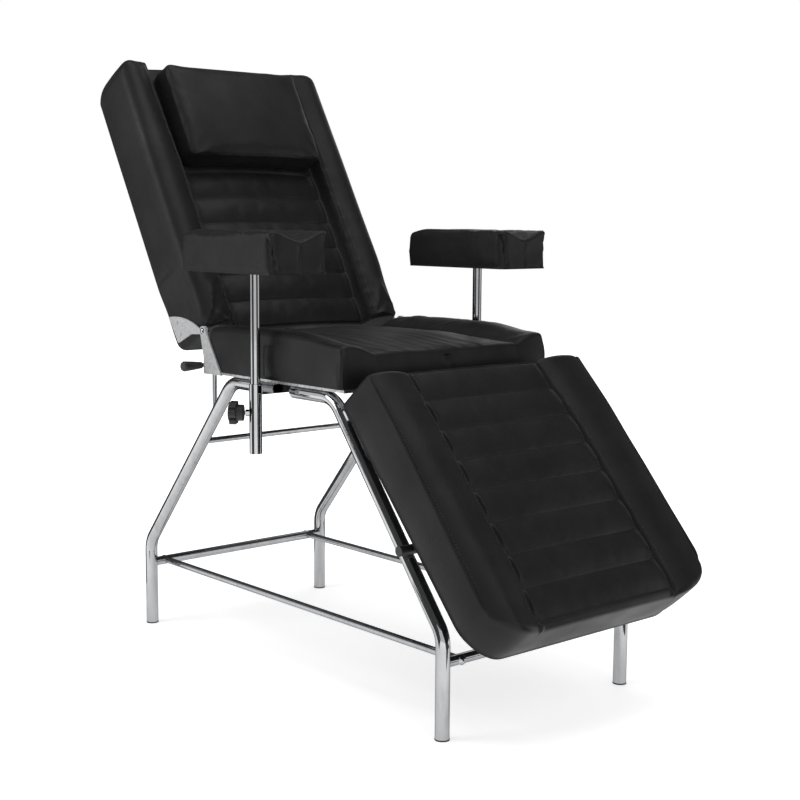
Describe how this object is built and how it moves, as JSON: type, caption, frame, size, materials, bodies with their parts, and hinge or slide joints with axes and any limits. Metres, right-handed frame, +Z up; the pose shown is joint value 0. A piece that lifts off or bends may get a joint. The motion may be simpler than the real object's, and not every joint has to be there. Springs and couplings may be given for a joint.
{
  "type": "tattoo chair",
  "caption": "Reclining tattoo chair with padded seat, back, head pillow and leg rest, armrests on height adjustable posts, and a bent tube base.",
  "frame": {"origin": "on the floor, in the middle of the four feet", "axes": "+X forward to the leg rest, +Y to the sitter's left, +Z up"},
  "size_m": [1.4866, 0.824, 1.4155],
  "materials": {
    "chromed_tube": "polished",
    "grey_paint": "satin",
    "black_plastic": "satin",
    "upholstery": "satin",
    "plywood": "matte",
    "plain_steel": "satin",
    "foot_rubber": "matte"
  },
  "bodies": {
    "base": {"armrest_crossbar": "chromed_tube", "armrest_socket_left": "chromed_tube", "armrest_socket_right": "chromed_tube", "back_lock_bracket": "plain_steel", "back_lock_housing": "plain_steel", "back_pivot_bolts": "chromed_tube", "foot_caps": "foot_rubber", "front_leg_left": "chromed_tube", "front_leg_right": "chromed_tube", "front_lower_crossbar": "chromed_tube", "leg_hinge_brackets": "plain_steel", "leg_hinge_pins": "chromed_tube", "leg_prop_bracket": "plain_steel", "lever_bracket": "plain_steel", "rear_leg_left": "chromed_tube", "rear_leg_right": "chromed_tube", "rear_lower_crossbar": "chromed_tube", "rear_stays": "chromed_tube", "rear_upper_crossbar": "chromed_tube", "seat_board": "plywood", "seat_cushion": "upholstery", "seat_front_skirt": "upholstery", "seat_hinge_plate_left": "grey_paint", "seat_hinge_plate_right": "grey_paint", "seat_plate_screws": "grey_paint", "seat_rails": "plain_steel", "seat_side_skirts": "upholstery", "side_bar_bolts": "chromed_tube", "side_bar_left": "chromed_tube", "side_bar_right": "chromed_tube", "socket_nuts": "chromed_tube"},
    "back": {"back_board": "plywood", "back_cushion": "upholstery", "head_pillow": "upholstery", "back_hinge_plate_right": "grey_paint", "back_hinge_plate_left": "grey_paint", "back_plate_screws": "grey_paint", "back_lower_rail": "plain_steel", "back_lock_arms": "plain_steel"},
    "back_lock": {"back_lock_rod": "chromed_tube"},
    "lever": {"release_lever": "chromed_tube", "lever_grip": "black_plastic"},
    "leg_rest": {"leg_rest_board": "plywood", "leg_rest_cushion": "upholstery", "leg_hinge_straps": "plain_steel", "leg_stop_bar": "chromed_tube", "leg_stop_sleeves": "black_plastic", "leg_stop_brackets": "plain_steel", "leg_prop_clevis": "plain_steel"},
    "prop_tube": {"leg_prop_tube": "chromed_tube"},
    "prop_bar": {"leg_prop_bar": "chromed_tube"},
    "post_right": {"armrest_post_right": "chromed_tube"},
    "arm_pad_right": {"armrest_board_right": "plywood", "armrest_pad_right": "upholstery"},
    "knob_right": {"star_knob_right": "black_plastic"},
    "post_left": {"armrest_post_left": "chromed_tube"},
    "arm_pad_left": {"armrest_board_left": "plywood", "armrest_pad_left": "upholstery"},
    "knob_left": {"star_knob_left": "black_plastic"}
  },
  "joints": [
    {"name": "back_recline", "type": "hinge", "parent": "base", "child": "back", "pos_m": [-0.244, 0, 0.768], "axis": [0, -1, 0], "range_deg": [-10, 50]},
    {"name": "back_lock_slide", "type": "slide", "parent": "base", "child": "back_lock", "axis": [1, 0, 0], "range_m": [-0.0165, 0.0805]},
    {"name": "release_lever_tip", "type": "hinge", "parent": "base", "child": "lever", "pos_m": [-0.247, -0.215, 0.688], "axis": [-1, 0, 0], "range_deg": [0, 6], "stiffness_Nm_per_rad": 6, "springref_deg": -5.73},
    {"name": "leg_rest_lift", "type": "hinge", "parent": "base", "child": "leg_rest", "pos_m": [0.2685, 0, 0.65], "axis": [0, -1, 0], "range_deg": [0, 49]},
    {"name": "leg_prop_swing", "type": "hinge", "parent": "base", "child": "prop_tube", "pos_m": [0.047, 0, 0.65], "axis": [0, -1, 0], "range_deg": [0, 19.5]},
    {"name": "leg_prop_slide", "type": "slide", "parent": "prop_tube", "child": "prop_bar", "axis": [0.9299, 0, -0.3679], "range_m": [0, 0.0395]},
    {"name": "armrest_height_right", "type": "slide", "parent": "base", "child": "post_right", "axis": [0, 0, 1], "range_m": [-0.1, 0.05]},
    {"name": "armrest_swivel_right", "type": "hinge", "parent": "post_right", "child": "arm_pad_right", "pos_m": [0.006, -0.336, 0.915], "axis": [0, 0, 1], "range_deg": [-90, 90]},
    {"name": "star_knob_turn_right", "type": "hinge", "parent": "base", "child": "knob_right", "pos_m": [0.006, -0.336, 0.605], "axis": [-0.7071, -0.7071, 0], "range_deg": [0, 360]},
    {"name": "armrest_height_left", "type": "slide", "parent": "base", "child": "post_left", "axis": [0, 0, 1], "range_m": [-0.1, 0.05]},
    {"name": "armrest_swivel_left", "type": "hinge", "parent": "post_left", "child": "arm_pad_left", "pos_m": [0.006, 0.336, 0.915], "axis": [0, 0, 1], "range_deg": [-90, 90]},
    {"name": "star_knob_turn_left", "type": "hinge", "parent": "base", "child": "knob_left", "pos_m": [0.006, 0.336, 0.605], "axis": [-0.7071, 0.7071, 0], "range_deg": [0, 360]}
  ],
  "couplings": [
    {"joint": "back_lock_slide", "follows": "back_recline", "m_per_rad": 0.0915},
    {"joint": "leg_prop_swing", "follows": "leg_rest_lift", "ratio": 0.396},
    {"joint": "leg_prop_slide", "follows": "leg_rest_lift", "m_per_rad": 0.0457}
  ]
}
